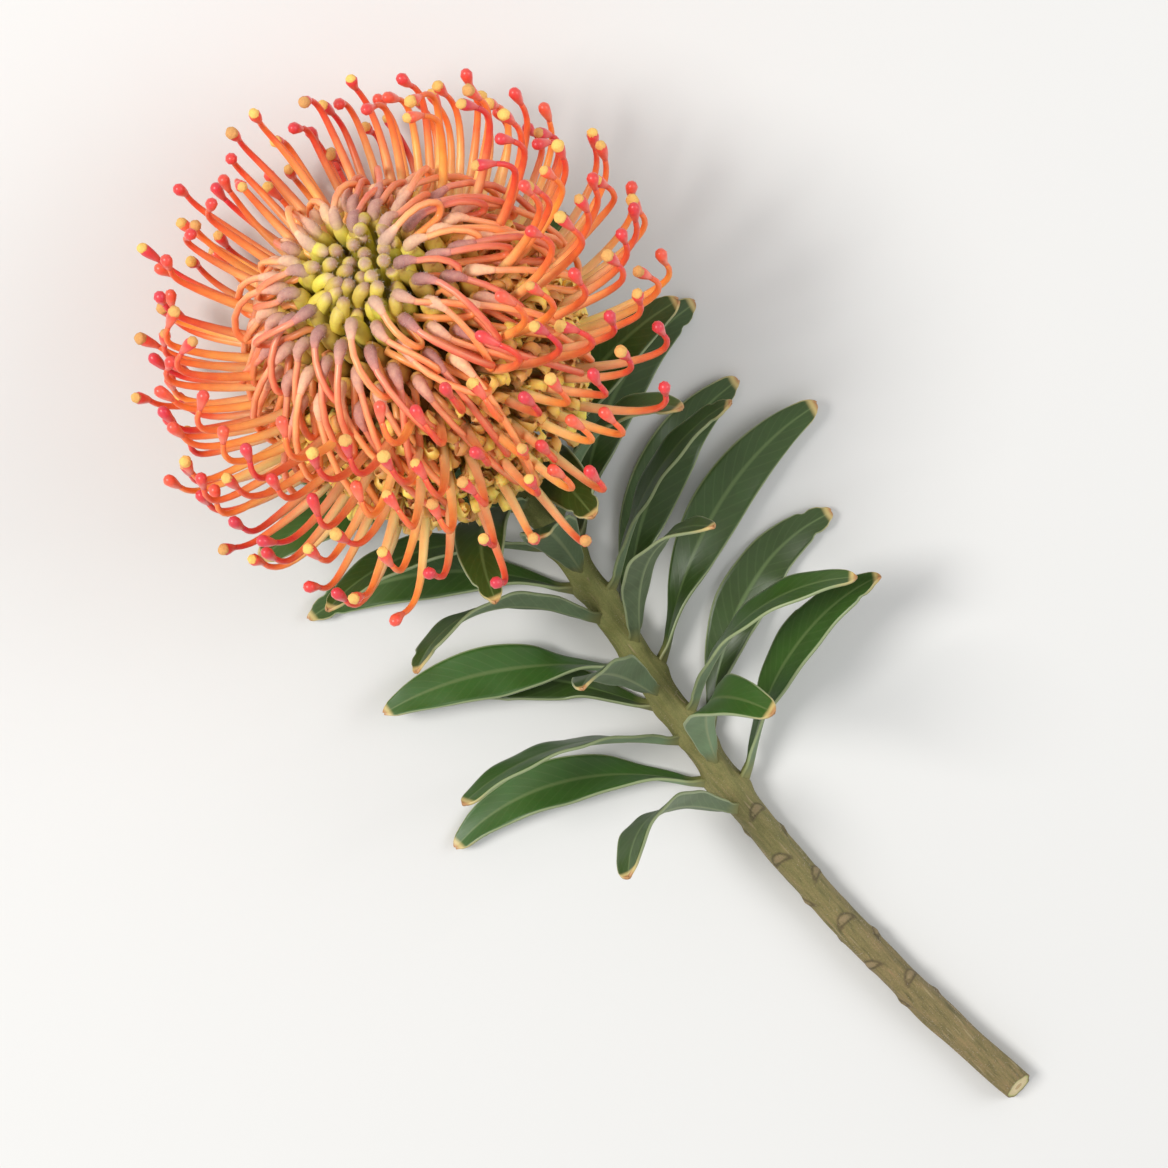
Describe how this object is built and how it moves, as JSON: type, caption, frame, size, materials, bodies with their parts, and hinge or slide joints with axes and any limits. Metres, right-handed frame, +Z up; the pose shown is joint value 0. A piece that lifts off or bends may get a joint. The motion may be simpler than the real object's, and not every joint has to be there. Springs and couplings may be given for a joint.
{
  "type": "pincushion protea flower",
  "caption": "Cut pincushion protea flower, a round head of curved orange pins on a leafy stem, lying on a flat surface.",
  "frame": {"origin": "centre of the bounding box's bottom, on the surface that the flower lies on", "axes": "+Y along the stem from its cut end towards the flower head, +Z up, +X across the stem"},
  "size_m": [0.1226, 0.2747, 0.098],
  "materials": {
    "bark": "dull brown-olive bark with faint hairs",
    "bract": "matt, woolly, pale green to brown",
    "floret": "satin, pale yellow at the base through orange to coral red at the tip",
    "bud": "yellow-green with mauve-grey hairy tips",
    "leaf": "leathery dark green with a pale margin, greyer below"
  },
  "bodies": {
    "root": {"stem": "bark", "involucre": "bract", "flower_head": "floret", "central_buds": "bud", "leaf_01": "leaf", "leaf_02": "leaf", "leaf_03": "leaf", "leaf_04": "leaf", "leaf_05": "leaf", "leaf_06": "leaf", "leaf_07": "leaf", "leaf_08": "leaf", "leaf_09": "leaf", "leaf_10": "leaf", "leaf_11": "leaf", "leaf_12": "leaf", "leaf_13": "leaf", "leaf_14": "leaf", "leaf_15": "leaf", "leaf_16": "leaf", "leaf_17": "leaf", "leaf_18": "leaf", "leaf_19": "leaf", "leaf_20": "leaf", "leaf_21": "leaf", "leaf_22": "leaf", "leaf_23": "leaf", "leaf_24": "leaf", "leaf_25": "leaf", "leaf_26": "leaf"}
  },
  "joints": []
}
